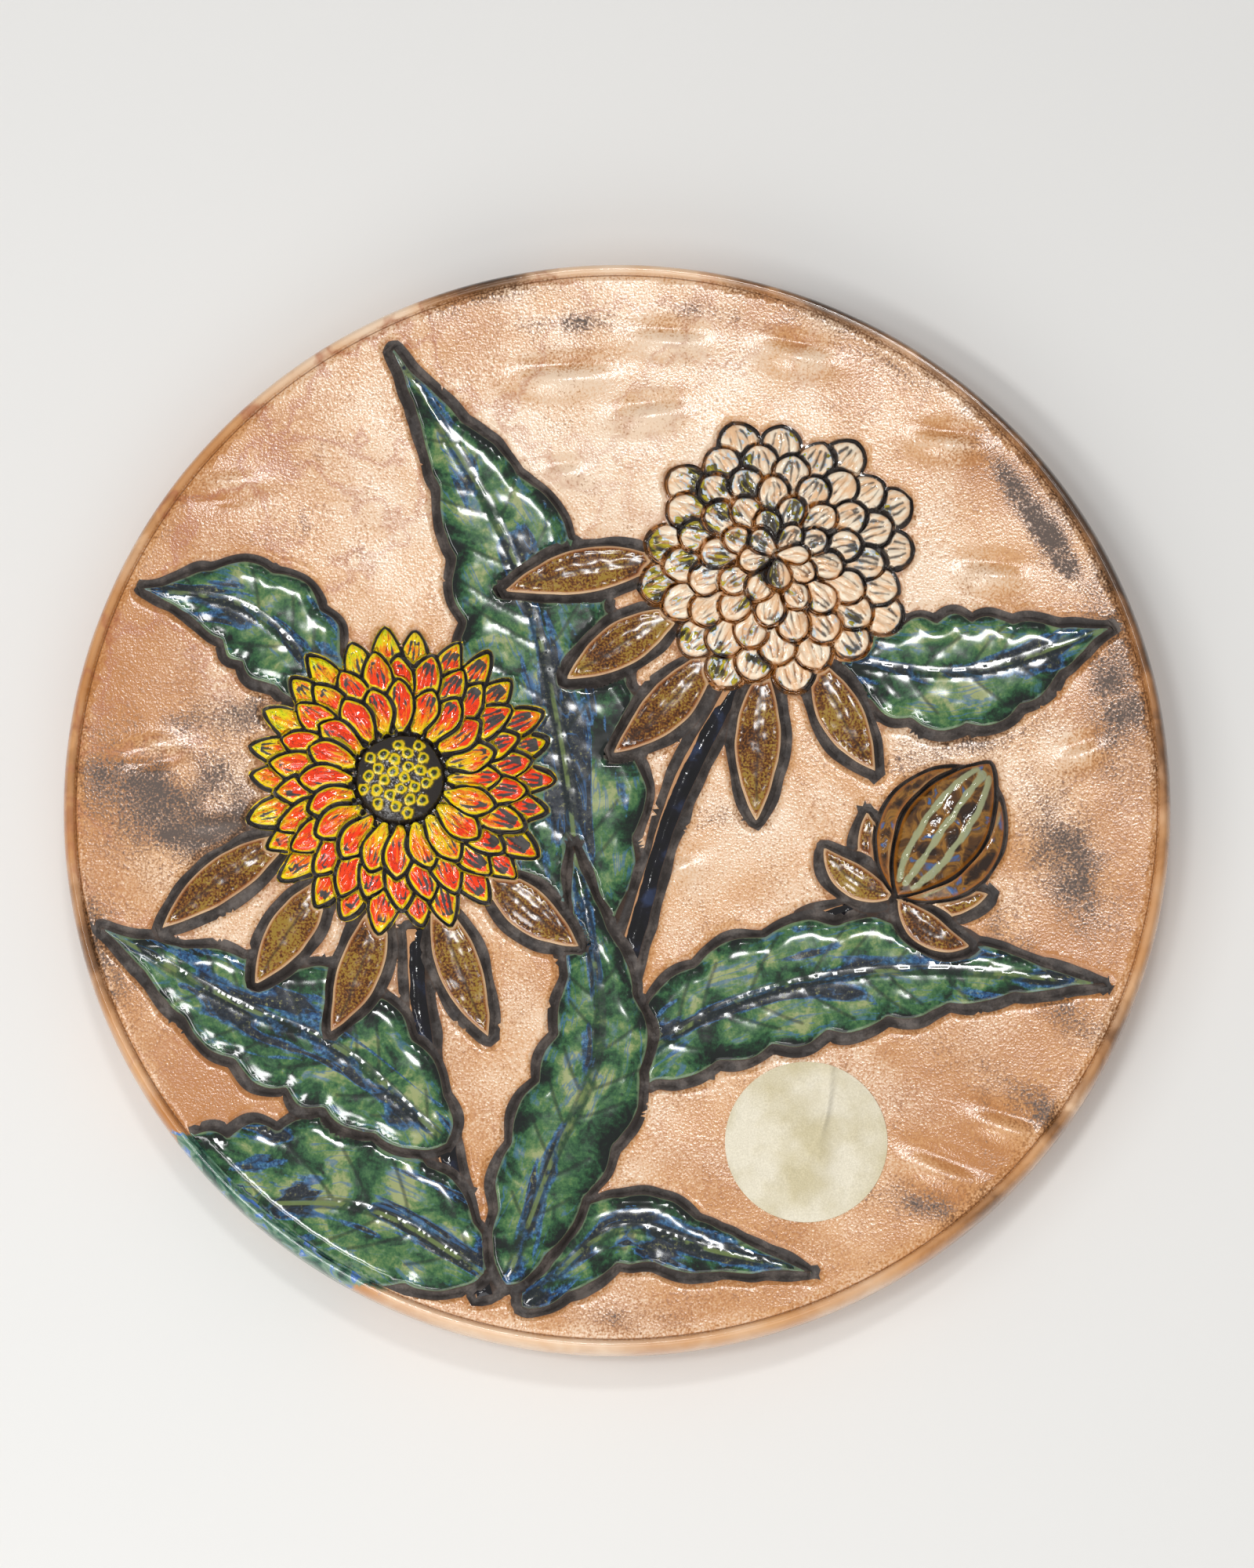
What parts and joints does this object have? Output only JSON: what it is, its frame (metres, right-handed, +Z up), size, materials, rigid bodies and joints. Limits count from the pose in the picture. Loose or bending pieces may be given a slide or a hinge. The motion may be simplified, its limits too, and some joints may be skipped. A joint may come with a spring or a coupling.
{
  "type": "decorative wall plate",
  "caption": "Round relief-carved stoneware wall plate with a raised rim, a foot ring on the back and a round foil sticker on its face.",
  "frame": {"origin": "on the back of the foot ring, at its top, where the plate rests on the wall it hangs on", "axes": "+Z up with the plate hanging, +Y into the wall, -Y out of the plate's face, +X to the right as the face is seen"},
  "size_m": [0.29, 0.0215, 0.2901],
  "materials": {
    "plate": "satin peach glaze with glossy green, orange, cream and brown figures in bare charcoal grooves",
    "foil_label": "pale gold foil, slightly creased"
  },
  "bodies": {
    "root": {"plate": "plate", "foil_label": "foil_label"}
  },
  "joints": []
}
